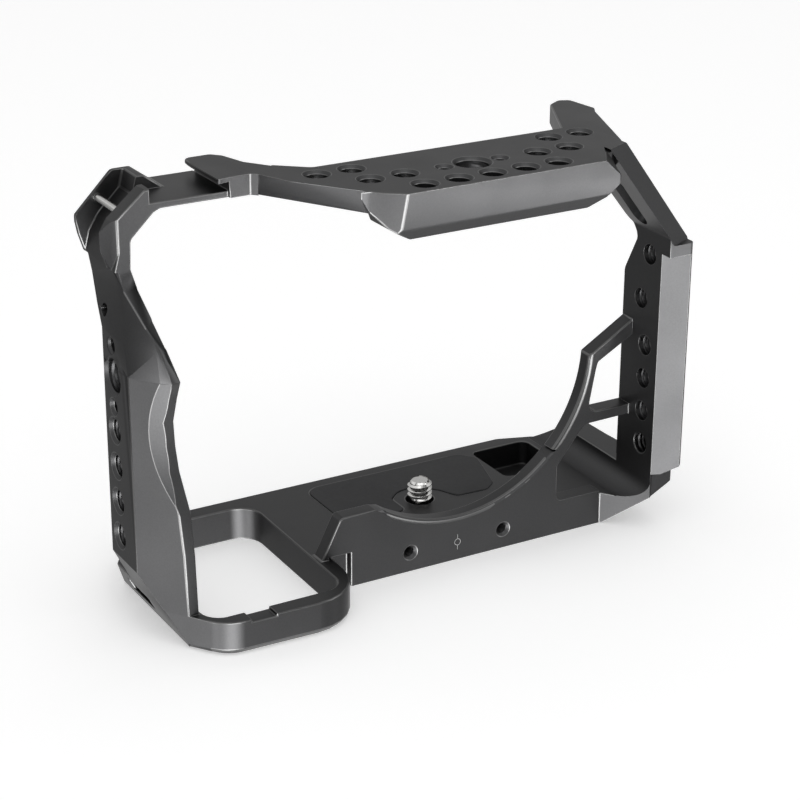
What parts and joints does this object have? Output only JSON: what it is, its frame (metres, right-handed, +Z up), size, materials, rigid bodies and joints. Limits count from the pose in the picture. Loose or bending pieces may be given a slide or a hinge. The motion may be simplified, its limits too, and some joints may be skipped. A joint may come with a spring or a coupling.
{
  "type": "camera cage",
  "caption": "Machined aluminium cage round a camera body, with threaded accessory holes, a lens cut-out, a grip loop and a captive camera screw.",
  "frame": {"origin": "floor under the middle of the cage's bounding box", "axes": "+X to the right seen from the lens side, the lens looks along -Y, +Z up"},
  "size_m": [0.1456, 0.064, 0.1065],
  "materials": {
    "anodised": "dark grey bead-blasted anodised aluminium with bright cut edges",
    "bare_steel": "polished stainless steel",
    "dark_steel": "satin steel",
    "rubber": "matt black rubber",
    "nylon": "black nylon",
    "nickel": "nickel plated"
  },
  "bodies": {
    "frame": {"base_plate": "anodised", "front_wall": "anodised", "lens_brace": "anodised", "grip_loop": "anodised", "left_wall": "anodised", "left_arm": "anodised", "strap_corner": "anodised", "cross_bar": "anodised", "wing_arm": "anodised", "top_plate": "anodised", "right_shoulder": "anodised", "right_wall": "anodised", "right_foot": "anodised", "strap_pin": "bare_steel", "screw_clip": "dark_steel", "rubber_pad": "rubber", "key_magnets": "nickel"},
    "screw_carrier": {"screw_washer": "nylon"},
    "screw": {"camera_screw": "bare_steel"},
    "key": {"driver_key": "dark_steel"}
  },
  "joints": [
    {"name": "screw_lift", "type": "slide", "parent": "frame", "child": "screw_carrier", "axis": [0, 0, 1], "range_m": [-0.0019, 0]},
    {"name": "screw_turn", "type": "hinge", "parent": "screw_carrier", "child": "screw", "pos_m": [0.0146, 0.009, 0.009], "axis": [0, 0, 1], "range_deg": [-540, 0]},
    {"name": "key_release", "type": "slide", "parent": "frame", "child": "key", "axis": [0, 0, -1], "range_m": [0, 0.012]}
  ],
  "couplings": [
    {"joint": "screw_turn", "follows": "screw_lift", "rad_per_m": 4947.4}
  ]
}
